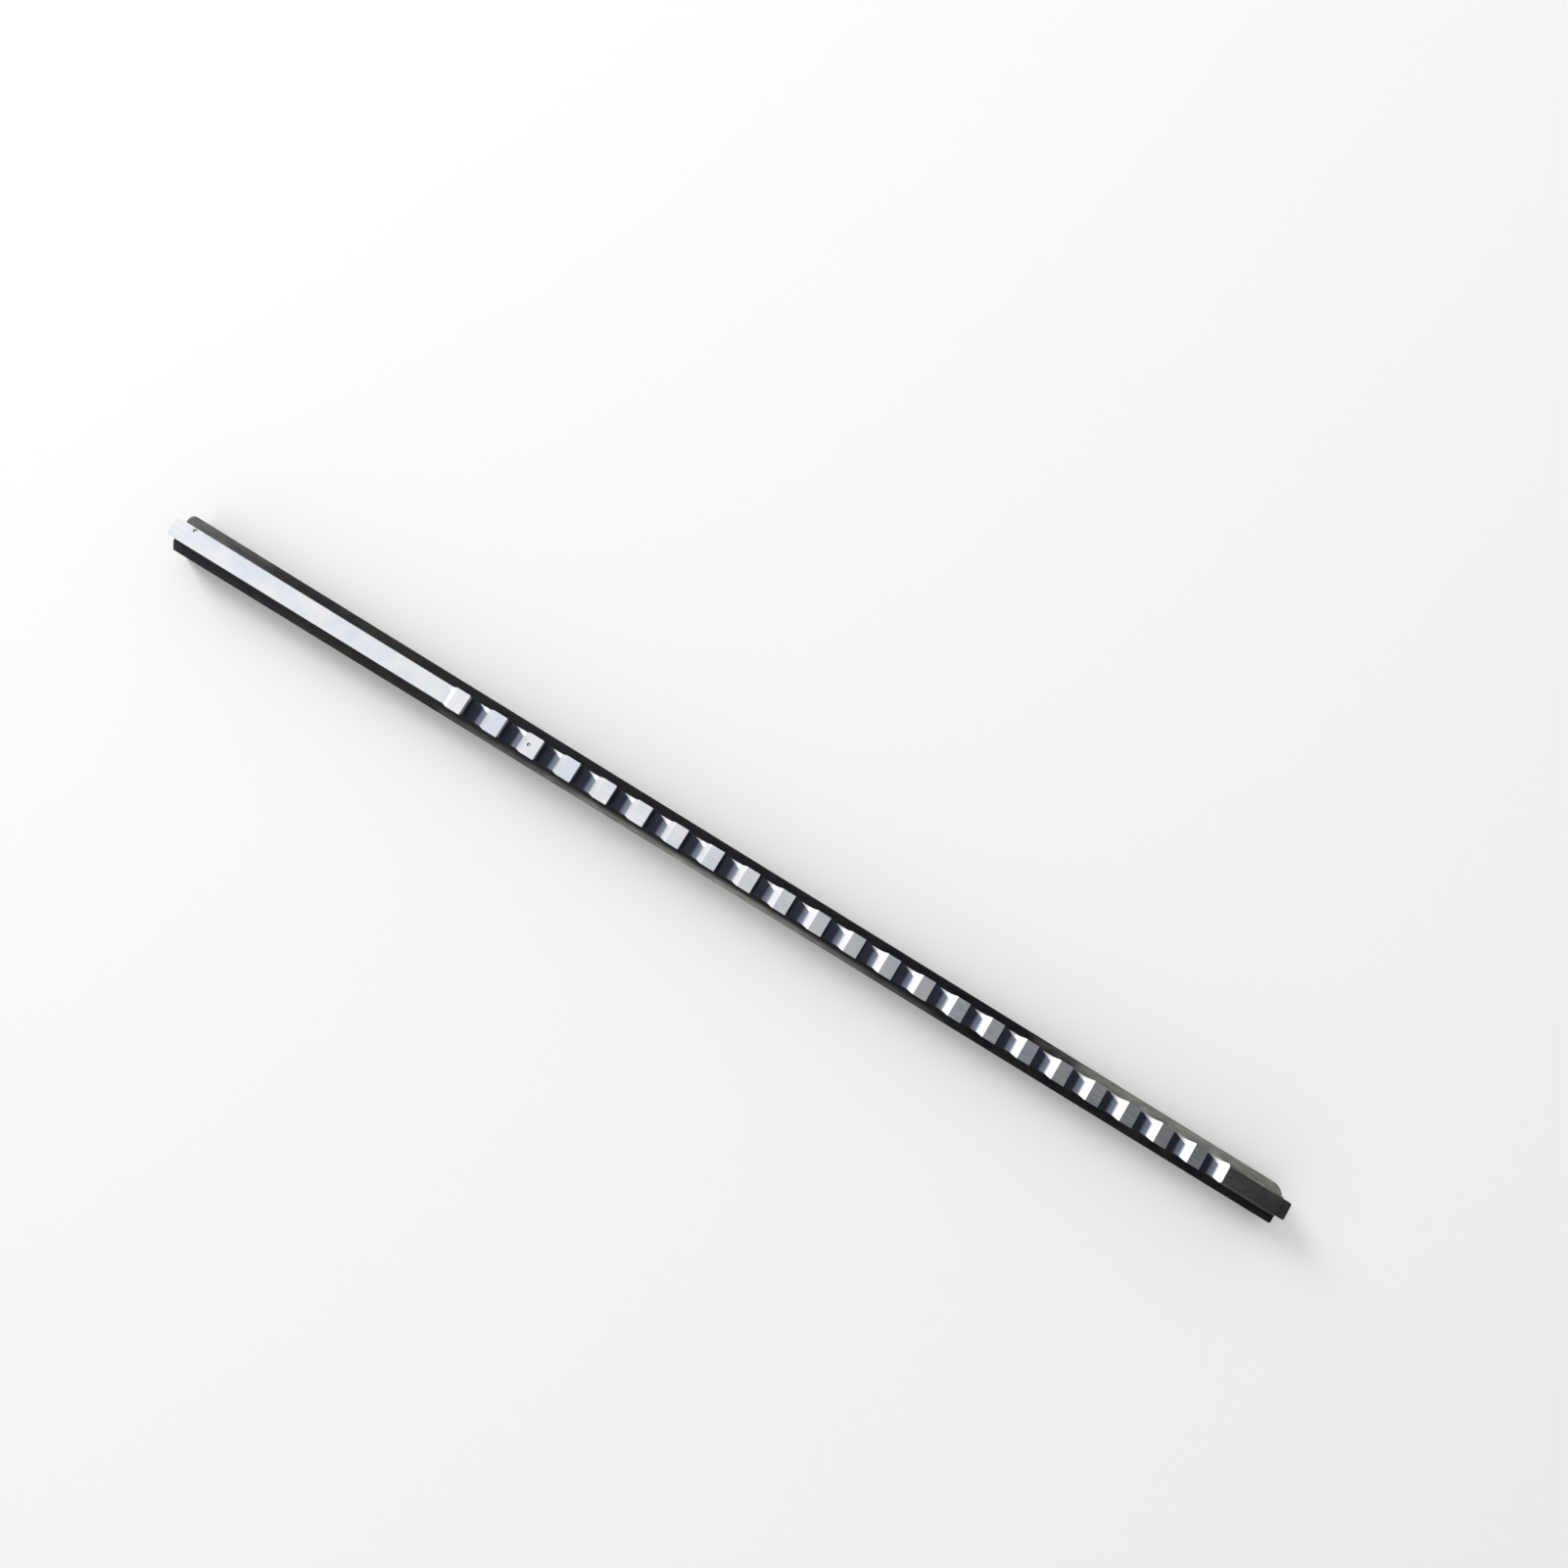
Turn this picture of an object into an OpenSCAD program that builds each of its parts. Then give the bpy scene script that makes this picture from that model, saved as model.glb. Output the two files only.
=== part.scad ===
// Keyway broach of the push type: a flat-backed bar of T section, with a row of rising
// cutting teeth along its web. Each tooth cuts a little deeper than the one ahead of it.
// Millimetres. +X points to the leading end, +Z away from the flat back, and the origin
// is under the middle of the bar, on the back.

/* [Body] */
// Width over the two shoulders, which slide in the slot of a guide bushing
body_w = 9; // [7.6:0.1:12]
// Height of the shoulders above the back
shoulder_h = 6; // [4:0.1:6.6]
// Bevel along the two long edges of the back
back_bevel = 0.5; // [0.2:0.1:1]
// Hollow radius where the web rises out of the shoulders
web_fillet = 0.5; // [0.2:0.05:0.6]

/* [Web] */
// Thickness of the web that carries the teeth
web_w = 4.4; // [3.6:0.1:4.8]
// Height of the top of the web, which is also the top of the plain shank
web_h = 9.2; // [8.2:0.1:9.6]

/* [Shank and lead] */
// Length of the plain shank, from its end to the back of the rearmost tooth
shank_len = 70.4; // [40:0.1:110]
// Length of the solid lead, from the foremost gullet to the leading end
lead_len = 18.2; // [12:0.1:30]
// Height of the top of the lead above the back
lead_h = 9.9; // [9.7:0.02:10]
// Bevel along the two upper edges of the lead
lead_bevel = 0.4; // [0.1:0.05:0.4]
// Length of the lower nose in which the lead ends
nose_len = 2.9; // [1.5:0.1:8]

/* [Teeth] */
// Number of cutting teeth
tooth_count = 22; // [8:1:26]
// Distance from one cutting edge to the next
pitch = 9.525; // [9:0.005:12]
// Width of the teeth, which is the width of the keyway
tooth_w = 5; // [4.9:0.05:6]
// Height of the lowest cutting edge, the one next to the lead
low_edge_h = 9.94; // [9.84:0.02:11]
// Height that each tooth gains on the one ahead of it
tooth_rise = 0.06; // [0.02:0.01:0.09]
// Length of the land behind each cutting edge
land_len = 3.3; // [2.4:0.1:3.8]
// Angle at which the land falls away behind its cutting edge
land_relief = 2.5; // [1:0.25:4]
// Hook of the cutting face under its edge
face_hook = 6; // [0:1:10]

/* [Gullets] */
// Depth of the gullet below its cutting edge
gullet_depth = 2.8; // [2.2:0.1:3.2]
// Radius at the foot of the cutting face
root_r = 1.2; // [0.7:0.1:1.4]
// Angle at which the gullet's floor rises towards the next tooth ahead
floor_rise = 8; // [2:1:12]
// Radius that turns the floor up into the back of the tooth ahead
sweep_r = 2.6; // [1.5:0.1:3.2]
// Slope of the straight back below each land
back_slope = 50; // [42:1:56]

/* [Tooth sides] */
// Straight margin along the sides of each tooth, below its cutting edge
side_margin = 0.4; // [0.2:0.1:0.8]
// Depth below the cutting edges at which the relieved sides have run in to the web
side_relief = 1.8; // [1.2:0.1:2]

/* [Ends] */
// How far the web stands out past the shoulders behind
rear_tongue = 0.5; // [0.4:0.1:4]
// How far the web stands out past the shoulders in front
front_tongue = 0.4; // [0.4:0.1:1.4]
// Bevel on the upright corners of both tongues
tongue_bevel = 0.3; // [0.1:0.1:0.3]
// Corner radius of the left shoulder behind
rear_left_r = 1.3; // [0.3:0.1:3]
// Corner radius of the left shoulder in front
front_left_r = 3.9; // [0.3:0.1:4]
// Corner radius of the right shoulder in front
front_right_r = 0.6; // [0.3:0.1:3]
// Length of the corner ground off the right shoulder behind
rear_right_len = 1.1; // [0.3:0.1:3]
// Width of the corner ground off the right shoulder behind
rear_right_w = 1.7; // [0.3:0.1:2.2]

/* [Hardness marks] */
// Width of the round dent that a hardness tester leaves
dent_d = 0.9; // [0.4:0.1:1.2]
// Depth of the dent
dent_depth = 0.12; // [0.05:0.01:0.2]
// Which tooth has a dent in its land, counted from the rear
dent_tooth = 3; // [1:1:8]
// Distance of that dent behind the cutting edge
dent_behind = 2.5; // [0.8:0.1:2.6]
// Distance of the shank's dent from the end of the shank
dent_from_end = 4.8; // [2:0.1:20]
// Distance of the shank's dent from the middle of the web
dent_off_middle = 1.6; // [0:0.1:1.6]

/* [Hidden] */
$fn = 96;

// Room by which a cut runs past the surface that it opens
over = 1;

// Turn of one step along the arcs of a gullet
arc_step = 8;

// The blank of the teeth stands proud of the cutting edges, until the lands are cut
blank_over = 0.5;

// Heights of the row
land_drop = land_len * tan(land_relief);
top_edge_h = low_edge_h + (tooth_count - 1) * tooth_rise;
row_slope = atan(tooth_rise / pitch);

// Places along the bar, from the end of the shank
back_run = (top_edge_h - land_drop - web_h) / tan(back_slope);
top_edge_x = shank_len + back_run + land_len;
low_edge_x = top_edge_x + (tooth_count - 1) * pitch;
lead_x = low_edge_x + pitch - land_len;
overall_len = lead_x + lead_len;
shoulder_x = rear_tongue;
shoulder_len = overall_len - rear_tongue - front_tongue;
shoulder_end = shoulder_x + shoulder_len;
nose_x = overall_len - nose_len;

// Gullet outline, from its cutting edge at [0, 0] to the heel of the tooth ahead
heel = [pitch - land_len, -tooth_rise - land_drop];
floor_up = [-sin(floor_rise), cos(floor_rise)];
back_up = [-sin(back_slope), cos(back_slope)];
root_z = root_r - gullet_depth;
root_mid = [(root_r + root_z * sin(face_hook)) / cos(face_hook), root_z];

// The sweep touches the floor and the straight back, so its middle is where two offset lines cross
floor_off = root_mid * floor_up - root_r + sweep_r;
back_off = heel * back_up + sweep_r;
turn = sin(back_slope - floor_rise);
sweep_mid = [
    (floor_off * cos(back_slope) - back_off * cos(floor_rise)) / turn,
    (floor_off * sin(back_slope) - back_off * sin(floor_rise)) / turn
];

// One land and the gullet ahead of it, about the cutting edge
tooth_line = concat(
    [[-land_len, -land_drop], [0, 0]],
    arc_points(root_mid, root_r, 180 - face_hook, 270 + floor_rise),
    arc_points(sweep_mid, sweep_r, 270 + floor_rise, 270 + back_slope)
);

// Ball that leaves a dent of the given width and depth
dent_r = (dent_d * dent_d / 4 + dent_depth * dent_depth) / (2 * dent_depth);

function edge_x(i) = top_edge_x + i * pitch;
function edge_h(i) = top_edge_h - i * tooth_rise;

// Points of an arc about mid, from one angle to another in equal steps of about arc_step
function arc_points(mid, r, from, to) =
    let (steps = ceil((to - from) / arc_step), step = (to - from) / steps)
    [for (n = [0 : steps]) mid + r * [cos(from + n * step), sin(from + n * step)]];

// Stands a side outline, drawn with X along the bar and Y as height, across the whole bar
module across(w) {
    rotate([90, 0, 0])
        linear_extrude(height = w, center = true)
            children();
}

// Runs a cross section, drawn with X across the bar and Y as height, along +X
module along(len) {
    rotate([90, 0, 90])
        linear_extrude(height = len)
            children();
}

// Square corner left over outside a quarter circle, with the corner at the origin
module corner_waste(r) {
    difference() {
        translate([-over, -over])
            square(r + over);
        translate([r, r])
            circle(r);
    }
}

// Section of the two shoulders, with the hollow radii that lead into the web
module shoulder_section() {
    half = body_w / 2;
    polygon([
        [-half + back_bevel, 0],
        [half - back_bevel, 0],
        [half, back_bevel],
        [half, shoulder_h],
        [-half, shoulder_h],
        [-half, back_bevel]
    ]);
    for (flip = [0, 1])
        mirror([flip, 0])
            difference() {
                translate([0, shoulder_h - over])
                    square([web_w / 2 + web_fillet, web_fillet + over]);
                translate([web_w / 2 + web_fillet, shoulder_h + web_fillet])
                    circle(web_fillet);
            }
}

// Plan of the shoulders, with each corner finished as it is on the bar
module shoulder_plan() {
    difference() {
        translate([shoulder_x, -body_w / 2])
            square([shoulder_len, body_w]);
        translate([shoulder_x, body_w / 2])
            mirror([0, 1])
                corner_waste(rear_left_r);
        translate([shoulder_end, body_w / 2])
            rotate(180)
                corner_waste(front_left_r);
        translate([shoulder_end, -body_w / 2])
            mirror([1, 0])
                corner_waste(front_right_r);
        translate([shoulder_x, -body_w / 2])
            polygon([
                [-over, rear_right_w],
                [0, rear_right_w],
                [rear_right_len, 0],
                [rear_right_len, -over],
                [-over, -over]
            ]);
    }
}

module shoulders() {
    intersection() {
        along(overall_len)
            shoulder_section();
        linear_extrude(height = shoulder_h + web_fillet + over)
            shoulder_plan();
    }
}

// Web over the full length, whose bare top is the shank behind and the nose in front
module web() {
    bevel = tongue_bevel;
    half = web_w / 2;
    linear_extrude(height = web_h)
        polygon([
            [0, -half + bevel],
            [bevel, -half],
            [overall_len - bevel, -half],
            [overall_len, -half + bevel],
            [overall_len, half - bevel],
            [overall_len - bevel, half],
            [bevel, half],
            [0, half - bevel]
        ]);
}

// Section of the tooth row about the line of its cutting edges, widest at the top
module crown_section() {
    tooth_half = tooth_w / 2;
    web_half = web_w / 2;
    crown_foot = -top_edge_h + shoulder_h;
    polygon([
        [-web_half, crown_foot],
        [web_half, crown_foot],
        [web_half, -side_relief],
        [tooth_half, -side_margin],
        [tooth_half, blank_over],
        [-tooth_half, blank_over],
        [-tooth_half, -side_margin],
        [-web_half, -side_relief]
    ]);
}

// Uncut blank of the teeth and the lead, sloped so that it falls towards the lead
module crown_blank() {
    intersection() {
        translate([top_edge_x, 0, top_edge_h])
            rotate([0, row_slope, 0])
                translate([-shank_len, 0, 0])
                    along(overall_len + shank_len)
                        crown_section();
        translate([shank_len, -tooth_w, shoulder_h])
            cube([nose_x - shank_len, 2 * tooth_w, top_edge_h]);
    }
}

// Everything that the grinding wheels take off above the row, from the rearmost back to the lead
module row_waste() {
    open_h = top_edge_h + blank_over + over;
    last = tooth_count - 1;
    lead_heel = [edge_x(last), edge_h(last)] + heel;
    lead_open = open_h - lead_heel.y;
    polygon(concat(
        [[shank_len - over, open_h], [shank_len, web_h]],
        [for (i = [0 : last], p = tooth_line) p + [edge_x(i), edge_h(i)]],
        [lead_heel + [lead_open / tan(back_slope), lead_open]]
    ));
}

// Waste above the lead and along its two upper edges
module lead_waste() {
    half = tooth_w / 2;
    translate([lead_x - land_len, 0, 0])
        along(lead_len + land_len)
            difference() {
                translate([-half - over, lead_h - lead_bevel])
                    square([tooth_w + 2 * over, lead_bevel + blank_over + over]);
                polygon([
                    [-half, lead_h - lead_bevel],
                    [half, lead_h - lead_bevel],
                    [half - lead_bevel, lead_h],
                    [-half + lead_bevel, lead_h]
                ]);
            }
}

module dent(x, y, surface_h) {
    translate([x, y, surface_h + dent_r - dent_depth])
        rotate([0, -90, 0])
            sphere(dent_r);
}

module broach() {
    dent_edge = dent_tooth - 1;
    land_dent_h = edge_h(dent_edge) - dent_behind * tan(land_relief);
    color("dimgray")
        translate([-overall_len / 2, 0, 0])
            difference() {
                union() {
                    shoulders();
                    web();
                    crown_blank();
                }
                across(tooth_w + 2 * over)
                    row_waste();
                lead_waste();
                dent(dent_from_end, dent_off_middle, web_h);
                dent(edge_x(dent_edge) - dent_behind, 0, land_dent_h);
            }
}

broach();
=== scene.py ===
"""Looks and stage of a push-type keyway broach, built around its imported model.

The bar is one piece of hardened tool steel. It was blackened all over, and then its shank's top,
its lands and the backs of its teeth were ground bright. Lengths are in metres, in the model's own
frame: +X points to the leading end, +Y to the left side and +Z away from the flat back.
"""

import math

import bmesh
import bpy
from bpy.props import FloatProperty, FloatVectorProperty, PointerProperty
from mathutils import Matrix, Vector


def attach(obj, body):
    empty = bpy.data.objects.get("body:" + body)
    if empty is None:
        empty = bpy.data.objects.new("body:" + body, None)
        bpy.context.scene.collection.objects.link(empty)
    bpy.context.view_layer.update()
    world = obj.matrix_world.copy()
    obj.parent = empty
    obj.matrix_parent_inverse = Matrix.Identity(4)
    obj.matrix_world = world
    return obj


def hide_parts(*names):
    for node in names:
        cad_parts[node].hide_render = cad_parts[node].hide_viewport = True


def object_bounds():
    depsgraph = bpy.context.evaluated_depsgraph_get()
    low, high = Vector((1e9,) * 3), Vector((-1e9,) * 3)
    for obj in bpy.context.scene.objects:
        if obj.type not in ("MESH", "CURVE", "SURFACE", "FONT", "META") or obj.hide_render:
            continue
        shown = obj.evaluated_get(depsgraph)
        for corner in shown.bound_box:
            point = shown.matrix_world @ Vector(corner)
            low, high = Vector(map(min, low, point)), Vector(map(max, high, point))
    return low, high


bl_info = {
    "name": "Keyway Broach",
    "version": (1, 0, 0),
    "blender": (4, 5, 0),
    "location": "View3D > Sidebar > Broach",
    "description": "Dresses a keyway broach in black oxide and ground steel, and lights it",
    "category": "Object",
}

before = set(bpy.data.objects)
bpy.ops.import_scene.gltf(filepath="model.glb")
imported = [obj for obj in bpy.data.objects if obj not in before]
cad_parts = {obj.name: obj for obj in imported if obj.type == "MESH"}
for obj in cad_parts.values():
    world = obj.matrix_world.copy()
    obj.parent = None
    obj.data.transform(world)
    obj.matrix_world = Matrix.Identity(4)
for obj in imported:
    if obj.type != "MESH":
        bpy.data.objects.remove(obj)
CAD_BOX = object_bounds()
LOW = Vector(CAD_BOX[0])
HIGH = Vector(CAD_BOX[1])

MM = 0.001
NODE = "broach"

# The photograph's frame is square, and the focal length is counted in its pixels.
PHOTO_SIDE = 1601
SENSOR_MM = 36

# Material slots of the bar, in order
BLACK, GROUND, GULLET = range(3)

# Kinds of node that the finishes use most
MATH = "ShaderNodeMath"
MIX = "ShaderNodeMix"
NOISE = "ShaderNodeTexNoise"
RANGE = "ShaderNodeMapRange"
STRETCH = "ShaderNodeMapping"

# Most of a noise lies between these two levels, which are spread over the range that it feeds.
NOISE_SPAN = {"From Min": 0.3, "From Max": 0.7}

# Depth of the lines that a wheel or a mill leaves, which are too fine for the mesh
LINE_DEPTH = 0.01 * MM


def linear(hex_colour):
    """Turns an sRGB hex value into linear red, green and blue."""
    parts = [int(hex_colour[i:i + 2], 16) / 255 for i in (1, 3, 5)]
    return [c / 12.92 if c <= 0.04045 else ((c + 0.055) / 1.055) ** 2.4 for c in parts]


def feed(tree, node, inputs):
    """Sets or links the named inputs of a node. A node given as a value links its first output."""
    for key, value in inputs.items():
        if isinstance(value, bpy.types.Node):
            value = next(output for output in value.outputs if output.enabled)
        if isinstance(value, bpy.types.NodeSocket):
            tree.links.new(value, node.inputs[key])
        else:
            node.inputs[key].default_value = value


def add_node(tree, kind, inputs, stops=(), **settings):
    """Adds a node with its settings and inputs, and the places and colours of a ramp's stops."""
    node = tree.nodes.new(kind)
    for name, value in settings.items():
        setattr(node, name, value)
    if stops:
        ramp = node.color_ramp.elements
        ramp.remove(ramp[1])
        ramp[0].position = stops[0][0]
        for place, _ in stops[1:]:
            ramp.new(place)
        for stop, (_, colour) in zip(ramp, stops):
            stop.color = (*colour, 1)
    feed(tree, node, inputs)
    return node


class BroachSizes(bpy.types.PropertyGroup):
    """Sizes of the bar that tell its faces apart, and the rounding of its edges."""

    shank_len: FloatProperty(
        name="Shank length", description="From the rear end to the back of the rearmost tooth",
        default=70.4 * MM, unit="LENGTH")
    shank_h: FloatProperty(
        name="Shank height", description="Top of the plain shank above the back",
        default=9.2 * MM, unit="LENGTH")
    shoulder_h: FloatProperty(
        name="Shoulder height", description="Top of the shoulders above the back",
        default=6.0 * MM, unit="LENGTH")
    lead_len: FloatProperty(
        name="Lead length", description="From the foremost gullet to the leading end",
        default=18.2 * MM, unit="LENGTH")
    top_edge_x: FloatProperty(
        name="Rearmost edge", description="Place of the rearmost cutting edge along the bar",
        default=-74.596 * MM, unit="LENGTH")
    pitch: FloatProperty(
        name="Pitch", description="Distance from one cutting edge to the next",
        default=9.525 * MM, unit="LENGTH")
    low_edge_h: FloatProperty(
        name="Lowest cutting edge", description="Height of the cutting edge next to the lead",
        default=9.94 * MM, unit="LENGTH")
    land_depth: FloatProperty(
        name="Depth of a land",
        description="No land lies deeper than this below the line of the cutting edges",
        default=0.5 * MM, unit="LENGTH")
    gullet_depth: FloatProperty(
        name="Depth of a gullet",
        description="No gullet lies deeper than this below the line of the cutting edges",
        default=3.0 * MM, unit="LENGTH")
    edge_round: FloatProperty(
        name="Edge rounding", description="Width of the small rounding on the blackened edges",
        default=0.08 * MM, unit="LENGTH")


class BroachFinish(bpy.types.PropertyGroup):
    """Colours of the finishes, and the real sizes of their patterns."""

    oxide: FloatVectorProperty(
        name="Black oxide", description="Colour of the blackened steel",
        subtype="COLOR", default=linear("#232425"))
    oxide_warm: FloatVectorProperty(
        name="Warm patches", description="Brown tint of some clouds in the oxide",
        subtype="COLOR", default=linear("#2f2c27"))
    oxide_cool: FloatVectorProperty(
        name="Cool patches", description="Blue tint of the other clouds in the oxide",
        subtype="COLOR", default=linear("#1c1e25"))
    # Grey of rubbed edges, also used as a painted highlight on the lead's left bevel
    worn_and_sheen: FloatVectorProperty(
        name="Worn edge", description="Colour of the edges, rubbed through to grey steel",
        subtype="COLOR", default=linear("#77777a"))
    # Pale oxide, which also paints light on the shoulders: the right one away from the row's shade,
    # the left one beside the lead
    thin_oxide_and_painted_light: FloatVectorProperty(
        name="Thin oxide", description="Colour of the shoulders where handling has thinned the oxide",
        subtype="COLOR", default=linear("#a5a49f"))
    thick: FloatVectorProperty(
        name="Thick oxide", description="Colour of the left shoulder where nothing has rubbed it",
        subtype="COLOR", default=linear("#15171d"))
    ground: FloatVectorProperty(
        name="Ground steel", description="Colour of the bright ground faces",
        subtype="COLOR", default=linear("#dfdfe2"))
    ground_cool: FloatVectorProperty(
        name="Ground steel, cool", description="Blue tint in patches of the ground faces",
        subtype="COLOR", default=linear("#ced5df"))
    # Grey that the sloping walls of the dents take
    wall_grey: FloatVectorProperty(
        name="Dent grime", description="Colour of the oily dirt that sits in the dents",
        subtype="COLOR", default=linear("#75736f"))
    # The dark root is oxide, and also painted shade where the tooth behind shades the gullet
    gullet: FloatVectorProperty(
        name="Gullet root", description="Colour of the dark root of the gullets",
        subtype="COLOR", default=linear("#1f2534"))
    # Painted reflection: the blue grey that the shaded foot of each back reflects, drawn as a colour
    # of the steel
    foot_reflection: FloatVectorProperty(
        name="Blued foot", description="Colour of the foot of each back, blued by the wheel's heat",
        subtype="COLOR", default=linear("#626b7a"))
    foot_reflection_from: FloatProperty(
        name="Blued from", description="Where the blued foot begins, ahead of a cutting edge",
        default=3.0 * MM, unit="LENGTH")
    foot_reflection_full: FloatProperty(
        name="Blued full", description="Where the foot is fully blued, ahead of a cutting edge",
        default=3.7 * MM, unit="LENGTH")
    bright_from: FloatProperty(
        name="Bright from", description="Where the bright back begins, ahead of a cutting edge",
        default=4.5 * MM, unit="LENGTH")
    bright_full: FloatProperty(
        name="Bright full", description="Where the back is fully bright, ahead of a cutting edge",
        default=5.1 * MM, unit="LENGTH")
    # The bright wedge is a painted pool of light on the left of each gullet
    wedge_slope: FloatProperty(
        name="Wedge slope", description="How fast the bright wedge widens along the gullet",
        default=0.45)
    wedge_from: FloatProperty(
        name="Wedge start", description="Where the bright wedge begins, along its slope",
        default=3.05 * MM, unit="LENGTH")
    wedge_blend: FloatProperty(
        name="Wedge blend", description="Width of the soft border of the bright wedge",
        default=0.35 * MM, unit="LENGTH")
    # The real lines and grain are under 0.1 mm wide, and are drawn coarser so that they show.
    grind_spacing: FloatProperty(
        name="Line spacing", description="Distance between the lines that a wheel or a mill leaves",
        default=0.25 * MM, unit="LENGTH")
    oxide_grain: FloatProperty(
        name="Oxide grain", description="Width of the fine grain of the black oxide",
        default=0.7 * MM, unit="LENGTH")
    patch_size: FloatProperty(
        name="Patch size", description="Width of the cloudy patches in each finish",
        default=9 * MM, unit="LENGTH")


class BroachStage(bpy.types.PropertyGroup):
    """Camera, floor and lights."""

    camera_at: FloatVectorProperty(
        name="Camera", description="Place of the camera", subtype="XYZ", unit="LENGTH",
        default=(-18.16 * MM, -2.22 * MM, 255.68 * MM))
    camera_aim: FloatVectorProperty(
        name="Aim", description="Point of the floor in the middle of the picture",
        subtype="XYZ", unit="LENGTH", default=(-4.07 * MM, 23.99 * MM, 0.0))
    camera_turn: FloatProperty(
        name="Picture turn", description="Turn of the picture's width from the length of the bar",
        default=math.radians(31.935), subtype="ANGLE")
    focal_px: FloatProperty(
        name="Focal length", description="Focal length in pixels of the photograph", default=1100)
    floor: FloatVectorProperty(
        name="Floor", description="Colour of the pale floor",
        subtype="COLOR", default=linear("#f6f6f6"))
    key_at: FloatVectorProperty(
        name="Key light place", description="Place of the low lamp behind the bar",
        subtype="XYZ", unit="LENGTH", default=(-1.37, 0.50, 0.70))
    key_side: FloatProperty(
        name="Key light side", description="Side of the square lamp", default=0.6, unit="LENGTH")
    key_power: FloatProperty(
        name="Key light power", description="Power of the low lamp behind the bar, in watts",
        default=16.5)
    world_level: FloatProperty(
        name="Room light", description="Level of the light from all round", default=1.24)
    wall_level: FloatProperty(
        name="Walls", description="Level of the pale walls, as a share of the room light",
        default=0.65)


def merged_copy(node_name):
    """Gives the node's shape as a bmesh of whole faces, joined from its loose triangles."""
    same_place = 0.001 * MM
    same_plane = math.radians(0.5)
    bm = bmesh.new()
    bm.from_mesh(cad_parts[node_name].data)
    bmesh.ops.remove_doubles(bm, verts=bm.verts, dist=same_place)
    bmesh.ops.dissolve_limit(bm, angle_limit=same_plane, verts=bm.verts, edges=bm.edges)
    bm.normal_update()
    return bm


def row_line(sizes, x):
    """Height of the line of cutting edges at x, which falls from the highest tooth to the lead."""
    row_start = LOW.x + sizes.shank_len
    row_end = HIGH.x - sizes.lead_len
    share = (x - row_start) / (row_end - row_start)
    return HIGH.z + (sizes.low_edge_h - HIGH.z) * share


def finish_of(face, sizes):
    """Says which finish a face of the bar has, by where it lies and which way it looks."""
    side_look = 0.3
    up_look = 0.8
    place = face.calc_center_median()
    look = face.normal
    if abs(look.y) > side_look and look.z < up_look:
        return BLACK
    if LOW.x + sizes.shank_len < place.x < HIGH.x - sizes.lead_len:
        depth = row_line(sizes, place.x) - place.z
        if depth > sizes.gullet_depth:
            return BLACK
        return GROUND if depth < sizes.land_depth and look.z > up_look else GULLET
    on_shank = place.x < LOW.x + sizes.shank_len and place.z > sizes.shank_h - sizes.land_depth
    return GROUND if on_shank and look.z > up_look else BLACK


def mark_dents(bm):
    """Marks the sloping walls of the dents, which the ground finish greys."""
    flat_look = 0.985
    wall_grey = bm.faces.layers.float.new("dent_wall_grey")
    for face in bm.faces:
        if face.material_index == GROUND and face.normal.z < flat_look:
            face[wall_grey] = 1.0


def round_edges(bm, sizes):
    """Rounds the outer edges that touch the black finish, and marks them as rubbed, along with the
    left bevel of the lead, where the rubbed grey is a painted highlight of the light from the left."""
    sharp = math.radians(25)
    bevel_look = 0.5
    wear_and_sheen = bm.faces.layers.float.new("edge_wear_and_sheen")
    for face in bm.faces:
        # The left bevel of the lead takes the rubbed grey as a painted highlight
        on_lead = face.calc_center_median().x > HIGH.x - sizes.lead_len
        if on_lead and face.normal.y > bevel_look and face.normal.z > bevel_look:
            face[wear_and_sheen] = 1.0
    edges = [
        edge for edge in bm.edges
        if edge.is_convex and edge.calc_face_angle(0) > sharp
        and any(face.material_index == BLACK for face in edge.link_faces)
    ]
    made = bmesh.ops.bevel(
        bm, geom=edges, offset=sizes.edge_round, offset_type="OFFSET", segments=2, profile=0.5,
        affect="EDGES", clamp_overlap=True, material=-1)
    for face in made["faces"]:
        face[wear_and_sheen] = 1.0


def crisp_edges(bm):
    """Marks the edges that shade as corners. Between ground faces a shallow one counts too, so
    that the rim of a dent doesn't shade the flat around it."""
    corner = math.radians(30)
    ground_corner = math.radians(15)
    for edge in bm.edges:
        ground = all(face.material_index == GROUND for face in edge.link_faces)
        edge.smooth = edge.calc_face_angle(0) < (ground_corner if ground else corner)


def piece_from(bm, name):
    """Puts a bmesh into the scene as a piece at the origin."""
    mesh = bpy.data.meshes.new(name)
    bm.to_mesh(mesh)
    bm.free()
    piece = bpy.data.objects.new(name, mesh)
    bpy.context.scene.collection.objects.link(piece)
    return piece


def new_material(name):
    """Starts a node material and gives it with its shader and its Object coordinates."""
    material = bpy.data.materials.new(name)
    material.use_nodes = True
    tree = material.node_tree
    shader = tree.nodes["Principled BSDF"]
    place = add_node(tree, "ShaderNodeTexCoord", {}).outputs["Object"]
    return material, tree, shader, place


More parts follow.
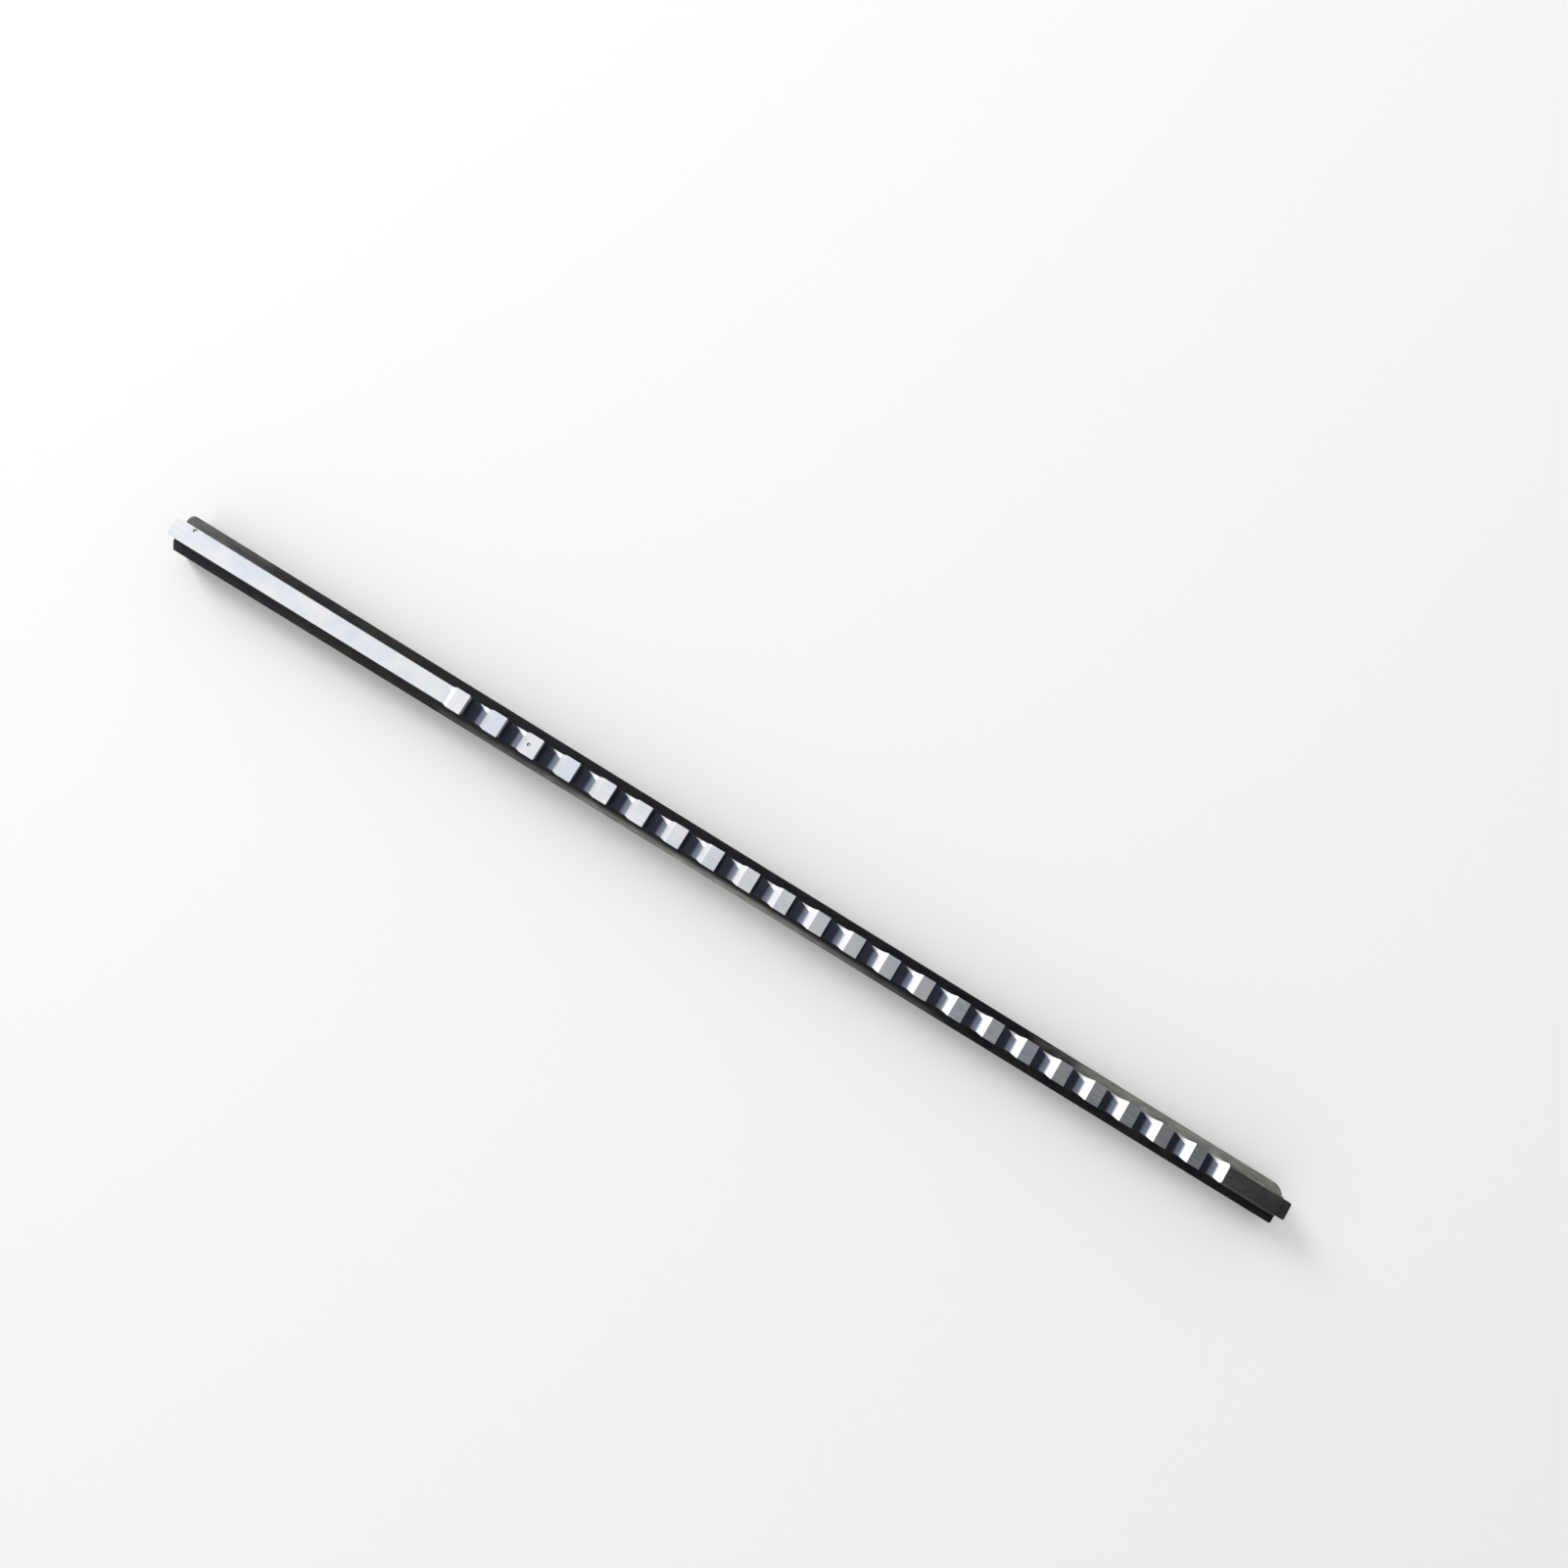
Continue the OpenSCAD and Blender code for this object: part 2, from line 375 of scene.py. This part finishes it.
def oxide_stretches(tree, place, cloud, colour, finish, sizes):
    """Mixes thick oxide and thinned oxide into a colour along lengths of the shoulders' tops and of
    the lead, with cloudy ends. The pale stretches are partly painted light: the right shoulder pales
    away from the shade of the row of teeth, and the left shoulder pales beside the lead, where light
    from the left falls. The sides below the tops take a little of it, and the web takes none."""
    wander_len = 30 * MM
    mottle_low, mottle_high = 0.72, 1.06
    side_share = 0.2
    # Heights between which the sides, the web and the lead take it more and more
    side_from, side_full = sizes.shoulder_h - 1.8 * MM, sizes.shoulder_h - 0.1 * MM
    web_from, web_full = sizes.shoulder_h + 2.0 * MM, sizes.shoulder_h + 0.6 * MM
    lead_from, lead_full = 8.5 * MM, 9.5 * MM
    # Places across the bar between which the shoulders take it more and more
    left_from, left_full = 1.9 * MM, 2.4 * MM
    right_from, right_full = -2.9 * MM, -3.9 * MM
    parts = add_node(tree, "ShaderNodeSeparateXYZ", {"Vector": place})
    across, height = parts.outputs["Y"], parts.outputs["Z"]
    wander = add_node(
        tree, MATH, {0: cloud, 1: wander_len, 2: parts.outputs["X"]}, operation="MULTIPLY_ADD")
    side_top = add_node(
        tree, RANGE,
        {"Value": height, "From Min": side_from, "From Max": side_full, "To Min": side_share})
    web_foot = add_node(
        tree, RANGE, {"Value": height, "From Min": web_from, "From Max": web_full})
    band = add_node(tree, MATH, {0: side_top, 1: web_foot}, operation="MINIMUM")
    left = add_node(
        tree, RANGE,
        {"Value": across, "From Min": left_from, "From Max": left_full, "To Max": band})
    right = add_node(
        tree, RANGE,
        {"Value": across, "From Min": right_from, "From Max": right_full, "To Max": band})
    lead = add_node(tree, RANGE, {"Value": height, "From Min": lead_from, "From Max": lead_full})
    # Places well past the ends of the bar, for a stretch that an end cuts off
    from_rear_end = (-500 * MM, -400 * MM)
    to_front_end = (400 * MM, 500 * MM)
    # Each stretch: where it lies, where it starts and is full, where it fades and ends, how strong
    # it is and its colour. The cloud moves the starts and ends back by about half of wander_len.
    # The pale stretches on the right shoulder and at the left front are partly painted light: lighter
    # away from the row's shade, and lit beside the lead
    stretches = (
        (left, (-95 * MM, -55 * MM), (80 * MM, 108 * MM), 0.85, finish.thick),
        (left, (92 * MM, 120 * MM), to_front_end, 0.92, finish.thin_oxide_and_painted_light),
        (left, from_rear_end, (-136 * MM, -112 * MM), 0.37, finish.thin_oxide_and_painted_light),
        (right, (-72 * MM, 0.0), (23 * MM, 74 * MM), 0.9, finish.thin_oxide_and_painted_light),
        (lead, (120 * MM, 140 * MM), (145 * MM, 175 * MM), 0.17, finish.thin_oxide_and_painted_light),
    )
    for where, (start, full), (fade, end), level, tone in stretches:
        rise = add_node(tree, RANGE, {"Value": wander, "From Min": start, "From Max": full})
        fall = add_node(tree, RANGE, {"Value": wander, "From Min": end, "From Max": fade})
        length = add_node(tree, MATH, {0: rise, 1: fall}, operation="MULTIPLY")
        share = add_node(tree, MATH, {0: length, 1: where}, operation="MULTIPLY")
        mottle = add_node(
            tree, RANGE,
            {"Value": cloud, **NOISE_SPAN, "To Min": mottle_low * level,
             "To Max": mottle_high * level})
        factor = add_node(tree, MATH, {0: share, 1: mottle}, operation="MULTIPLY")
        colour = add_node(
            tree, MIX, {"Factor": factor, "A": colour, "B": (*tone, 1)}, data_type="RGBA")
    return colour


def black_oxide_steel(finish, sizes):
    """Milled tool steel blackened in hot salts: a satin near-black film, cloudy brown and blue,
    through which the mill's fine lengthwise lines show. Edges are rubbed to grey, and the same grey
    paints a highlight on the left bevel of the lead."""
    material, tree, shader, place = new_material("black_oxide_tool_steel")
    patch = 1 / finish.patch_size
    grain = 1 / finish.oxide_grain
    line = 1 / finish.grind_spacing
    grain_stretch = 4
    line_stretch = 60
    rub_narrow = 3
    cloud = add_node(
        tree, NOISE, {"Vector": place, "Scale": patch, "Detail": 4, "Roughness": 0.6})
    tint = add_node(
        tree, "ShaderNodeValToRGB", {"Fac": cloud},
        stops=((0.36, finish.oxide_cool), (0.5, finish.oxide), (0.66, finish.oxide_warm)))
    long_grain = add_node(
        tree, STRETCH, {"Vector": place, "Scale": (grain / grain_stretch, grain, grain)})
    speckle = add_node(tree, NOISE, {"Vector": long_grain, "Scale": 1, "Detail": 2})
    speckle_level = add_node(
        tree, RANGE, {"Value": speckle, **NOISE_SPAN, "To Min": 0.8, "To Max": 1.25})
    long_lines = add_node(
        tree, STRETCH, {"Vector": place, "Scale": (line / line_stretch, line, line)})
    lines = add_node(tree, NOISE, {"Vector": long_lines, "Scale": 1, "Detail": 3})
    long_rub = add_node(
        tree, STRETCH,
        {"Vector": place, "Scale": (patch, rub_narrow * patch, rub_narrow * patch)})
    rub = add_node(tree, NOISE, {"Vector": long_rub, "Scale": 1, "Detail": 3})
    rub_level = add_node(tree, RANGE, {"Value": rub, "From Min": 0.35, "From Max": 0.65})
    # Rubbed edges, and the painted highlight on the lead's left bevel
    wear_and_sheen = add_node(tree, "ShaderNodeAttribute", {}, attribute_name="edge_wear_and_sheen")
    worn_and_sheen = add_node(tree, MATH, {0: wear_and_sheen.outputs["Fac"], 1: rub_level}, operation="MULTIPLY")
    edges = add_node(
        tree, MIX, {"Factor": worn_and_sheen, "A": tint, "B": (*finish.worn_and_sheen, 1)}, data_type="RGBA")
    film = oxide_stretches(tree, place, rub, edges, finish, sizes)
    colour = add_node(
        tree, MIX, {"Factor": 1.0, "A": film, "B": speckle_level},
        data_type="RGBA", blend_type="MULTIPLY")
    rough = add_node(
        tree, RANGE, {"Value": cloud, **NOISE_SPAN, "To Min": 0.34, "To Max": 0.5})
    bump = add_node(
        tree, "ShaderNodeBump", {"Height": lines, "Strength": 0.25, "Distance": LINE_DEPTH})
    feed(tree, shader, {
        "Base Color": colour, "Roughness": rough, "Normal": bump,
        "Metallic": 0.45, "Specular IOR Level": 0.3})
    return material


def ground_steel(finish):
    """Surface-ground tool steel: bright, with fine lengthwise lines and faint cool patches. The
    sloping walls of the dents are greyer."""
    material, tree, shader, place = new_material("surface_ground_tool_steel")
    line = 1 / finish.grind_spacing
    line_stretch = 80
    cloud = add_node(
        tree, NOISE,
        {"Vector": place, "Scale": 1 / finish.patch_size, "Detail": 3, "Roughness": 0.55})
    cool = add_node(tree, RANGE, {"Value": cloud, "From Min": 0.4, "From Max": 0.62})
    clean = add_node(
        tree, MIX, {"Factor": cool, "A": (*finish.ground, 1), "B": (*finish.ground_cool, 1)},
        data_type="RGBA")
    # Greys the sloping walls of the dents
    dent = add_node(tree, "ShaderNodeAttribute", {}, attribute_name="dent_wall_grey")
    colour = add_node(
        tree, MIX, {"Factor": dent.outputs["Fac"], "A": clean, "B": (*finish.wall_grey, 1)},
        data_type="RGBA")
    long_lines = add_node(
        tree, STRETCH, {"Vector": place, "Scale": (line / line_stretch, line, line)})
    lines = add_node(tree, NOISE, {"Vector": long_lines, "Scale": 1, "Detail": 4})
    rough = add_node(
        tree, RANGE, {"Value": lines, **NOISE_SPAN, "To Min": 0.24, "To Max": 0.36})
    bump = add_node(
        tree, "ShaderNodeBump", {"Height": lines, "Strength": 0.3, "Distance": LINE_DEPTH})
    feed(tree, shader, {
        "Base Color": colour, "Roughness": rough, "Normal": bump, "Metallic": 1.0})
    return material


def gullet_steel(finish, sizes):
    """Gullets blackened like the body, then ground across with a formed wheel on the straight
    back of each tooth. The root stays dark and satin, and is also painted shade from the tooth
    behind. The foot of the back carries a painted reflection in blue grey, and a bright wedge
    on the left is a painted pool of light that passes beside the tooth behind."""
    material, tree, shader, place = new_material("wheel_ground_gullet_steel")
    line = 1 / finish.grind_spacing
    line_stretch = 40
    cross_lines = add_node(
        tree, STRETCH, {"Vector": place, "Scale": (line, line / line_stretch, line)})
    lines = add_node(tree, NOISE, {"Vector": cross_lines, "Scale": 1, "Detail": 4})
    parts = add_node(tree, "ShaderNodeSeparateXYZ", {"Vector": place})
    from_edge = add_node(
        tree, MATH, {0: parts.outputs["X"], 1: sizes.top_edge_x}, operation="SUBTRACT")
    ahead = add_node(tree, MATH, {0: from_edge, 1: sizes.pitch}, operation="FLOORED_MODULO")
    back = add_node(
        tree, RANGE,
        {"Value": ahead, "From Min": finish.bright_from, "From Max": finish.bright_full},
        interpolation_type="SMOOTHSTEP")
    # Painted pool of light: a bright wedge on the left of each gullet, where light from behind passes
    # beside the far end of the tooth behind
    reach = add_node(
        tree, MATH, {0: ahead, 1: finish.wedge_slope, 2: parts.outputs["Y"]},
        operation="MULTIPLY_ADD")
    wedge_full = finish.wedge_from + finish.wedge_blend
    wedge = add_node(
        tree, RANGE, {"Value": reach, "From Min": finish.wedge_from, "From Max": wedge_full},
        interpolation_type="SMOOTHSTEP")
    bright = add_node(tree, MATH, {0: back, 1: wedge}, operation="MAXIMUM")
    streak = add_node(
        tree, RANGE, {"Value": lines, **NOISE_SPAN, "To Min": 0.85, "To Max": 1.0})
    ground = add_node(tree, MATH, {0: bright, 1: streak}, operation="MULTIPLY")
    # Painted reflection: a blue-grey band on the foot of each back
    foot = add_node(
        tree, RANGE,
        {"Value": ahead, "From Min": finish.foot_reflection_from, "From Max": finish.foot_reflection_full},
        interpolation_type="SMOOTHSTEP")
    # Dark root: oxide and painted shade from the tooth behind, blending into the painted reflection
    # on the foot
    dark = add_node(
        tree, MIX, {"Factor": foot, "A": (*finish.gullet, 1), "B": (*finish.foot_reflection, 1)},
        data_type="RGBA")
    colour = add_node(
        tree, MIX, {"Factor": ground, "A": dark, "B": (*finish.ground, 1)}, data_type="RGBA")
    metal = add_node(tree, RANGE, {"Value": bright, "To Min": 0.6, "To Max": 1.0})
    rough = add_node(tree, RANGE, {"Value": ground, "To Min": 0.4, "To Max": 0.6})
    bump = add_node(
        tree, "ShaderNodeBump", {"Height": lines, "Strength": 0.3, "Distance": LINE_DEPTH})
    feed(tree, shader, {
        "Base Color": colour, "Metallic": metal, "Roughness": rough, "Normal": bump})
    return material


class BROACH_OT_bar(bpy.types.Operator):
    """Dresses the bar: rounds its blackened edges and gives each face its finish"""

    bl_idname = "broach.bar"
    bl_label = "Dress the bar"

    def execute(self, context):
        sizes = context.scene.broach_sizes
        finish = context.scene.broach_finish
        bm = merged_copy(NODE)
        for face in bm.faces:
            face.material_index = finish_of(face, sizes)
        mark_dents(bm)
        round_edges(bm, sizes)
        many_sided = [face for face in bm.faces if len(face.verts) > 4]
        bmesh.ops.triangulate(bm, faces=many_sided)
        for face in bm.faces:
            face.smooth = True
        crisp_edges(bm)
        bar = piece_from(bm, "broach_bar")
        # In the order of BLACK, GROUND and GULLET
        bar.data.materials.append(black_oxide_steel(finish, sizes))
        bar.data.materials.append(ground_steel(finish))
        bar.data.materials.append(gullet_steel(finish, sizes))
        weighted = bar.modifiers.new("even_shading", "WEIGHTED_NORMAL")
        weighted.keep_sharp = True
        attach(bar, "root")
        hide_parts(NODE)
        return {"FINISHED"}


def key_lamp(stage, aim):
    """Adds the square lamp that stands low behind the bar."""
    lamp = bpy.data.lights.new("key", "AREA")
    lamp.size = stage.key_side
    lamp.energy = stage.key_power
    place = Vector(stage.key_at)
    obj = bpy.data.objects.new("key", lamp)
    obj.location = place
    obj.rotation_euler = (aim - place).to_track_quat("-Z", "Y").to_euler()
    bpy.context.scene.collection.objects.link(obj)


def room_light(stage):
    """Light from all round: pale walls, and overhead a wide soft glow behind the bar that fades
    to a dim ceiling in front."""
    wall_top = math.sin(math.radians(22))
    wall_end = math.sin(math.radians(38))
    # Places from behind the bar, 0, to in front of it, 1, and the overhead glow there
    glows = (
        (0.3, 0.85), (0.46, 1.0), (0.52, 0.5), (0.56, 0.34), (0.6, 0.24), (0.64, 0.165),
        (0.74, 0.062))
    world = bpy.data.worlds.new("room")
    bpy.context.scene.world = world
    world.use_nodes = True
    tree = world.node_tree
    way = add_node(tree, "ShaderNodeTexCoord", {}).outputs["Generated"]
    parts = add_node(tree, "ShaderNodeSeparateXYZ", {"Vector": way})
    forward = add_node(
        tree, RANGE, {"Value": parts.outputs["X"], "From Min": -1, "From Max": 1})
    ceiling = add_node(
        tree, "ShaderNodeValToRGB", {"Fac": forward},
        stops=[(place, (level, level, level)) for place, level in glows])
    ceiling.color_ramp.interpolation = "EASE"
    low = add_node(
        tree, RANGE, {"Value": parts.outputs["Z"], "From Min": wall_end, "From Max": wall_top},
        interpolation_type="SMOOTHSTEP")
    walls = add_node(tree, MATH, {0: low, 1: stage.wall_level}, operation="MULTIPLY")
    glow = add_node(tree, MATH, {0: ceiling, 1: walls}, operation="MAXIMUM")
    strength = add_node(tree, MATH, {0: glow, 1: stage.world_level}, operation="MULTIPLY")
    feed(tree, tree.nodes["Background"], {
        "Color": (*linear("#ffffff"), 1), "Strength": strength})


def pale_floor(stage):
    """Painted board under the bar, with a faint cloud in its white."""
    side = 30.0
    clouds_per_metre = 6
    cloud_shade = 0.99
    bm = bmesh.new()
    bmesh.ops.create_grid(bm, x_segments=1, y_segments=1, size=side / 2)
    floor = piece_from(bm, "floor")
    material, tree, shader, place = new_material("matt_white_board")
    cloud = add_node(tree, NOISE, {"Vector": place, "Scale": clouds_per_metre, "Detail": 2})
    shaded = [part * cloud_shade for part in stage.floor]
    tone = add_node(
        tree, MIX, {"Factor": cloud, "A": (*stage.floor, 1), "B": (*shaded, 1)},
        data_type="RGBA")
    feed(tree, shader, {"Base Color": tone, "Roughness": 0.9})
    floor.data.materials.append(material)


def photo_camera(stage):
    """Places the camera where the photograph was taken, turned so that the bar runs down across
    the picture."""
    lens = bpy.data.cameras.new("camera")
    lens.type = "PERSP"
    lens.sensor_width = SENSOR_MM
    lens.lens = stage.focal_px * SENSOR_MM / PHOTO_SIDE
    lens.clip_start = 10 * MM
    place = Vector(stage.camera_at)
    view = (Vector(stage.camera_aim) - place).normalized()
    level = Vector((math.cos(stage.camera_turn), math.sin(stage.camera_turn), 0))
    right = (level - view * level.dot(view)).normalized()
    up = right.cross(view)
    turn = Matrix((right, up, -view)).transposed().to_4x4()
    camera = bpy.data.objects.new("camera", lens)
    camera.matrix_world = Matrix.Translation(place) @ turn
    bpy.context.scene.collection.objects.link(camera)
    bpy.context.scene.camera = camera


class BROACH_OT_stage(bpy.types.Operator):
    """Sets the floor, the lights and the camera"""

    bl_idname = "broach.stage"
    bl_label = "Set the stage"

    def execute(self, context):
        stage = context.scene.broach_stage
        photo_camera(stage)
        pale_floor(stage)
        room_light(stage)
        key_lamp(stage, (LOW + HIGH) / 2)
        context.scene.view_settings.view_transform = "Standard"
        return {"FINISHED"}


class BROACH_PT_panel(bpy.types.Panel):
    """Lists the sizes, the finishes, the stage and the two operators"""

    bl_idname = "BROACH_PT_panel"
    bl_label = "Keyway broach"
    bl_space_type = "VIEW_3D"
    bl_region_type = "UI"
    bl_category = "Broach"

    def draw(self, context):
        scene = context.scene
        for group in (scene.broach_sizes, scene.broach_finish, scene.broach_stage):
            box = self.layout.box()
            for name in group.bl_rna.properties.keys():
                if name not in ("rna_type", "name"):
                    box.prop(group, name)
        self.layout.operator(BROACH_OT_stage.bl_idname)
        self.layout.operator(BROACH_OT_bar.bl_idname)


CLASSES = (
    BroachSizes, BroachFinish, BroachStage, BROACH_OT_bar, BROACH_OT_stage, BROACH_PT_panel)


def register():
    for item in CLASSES:
        bpy.utils.register_class(item)
    bpy.types.Scene.broach_sizes = PointerProperty(type=BroachSizes)
    bpy.types.Scene.broach_finish = PointerProperty(type=BroachFinish)
    bpy.types.Scene.broach_stage = PointerProperty(type=BroachStage)


def unregister():
    del bpy.types.Scene.broach_stage
    del bpy.types.Scene.broach_finish
    del bpy.types.Scene.broach_sizes
    for item in reversed(CLASSES):
        bpy.utils.unregister_class(item)


def main():
    register()
    bpy.ops.broach.stage()
    bpy.ops.broach.bar()


if __name__ == "__main__":
    main()
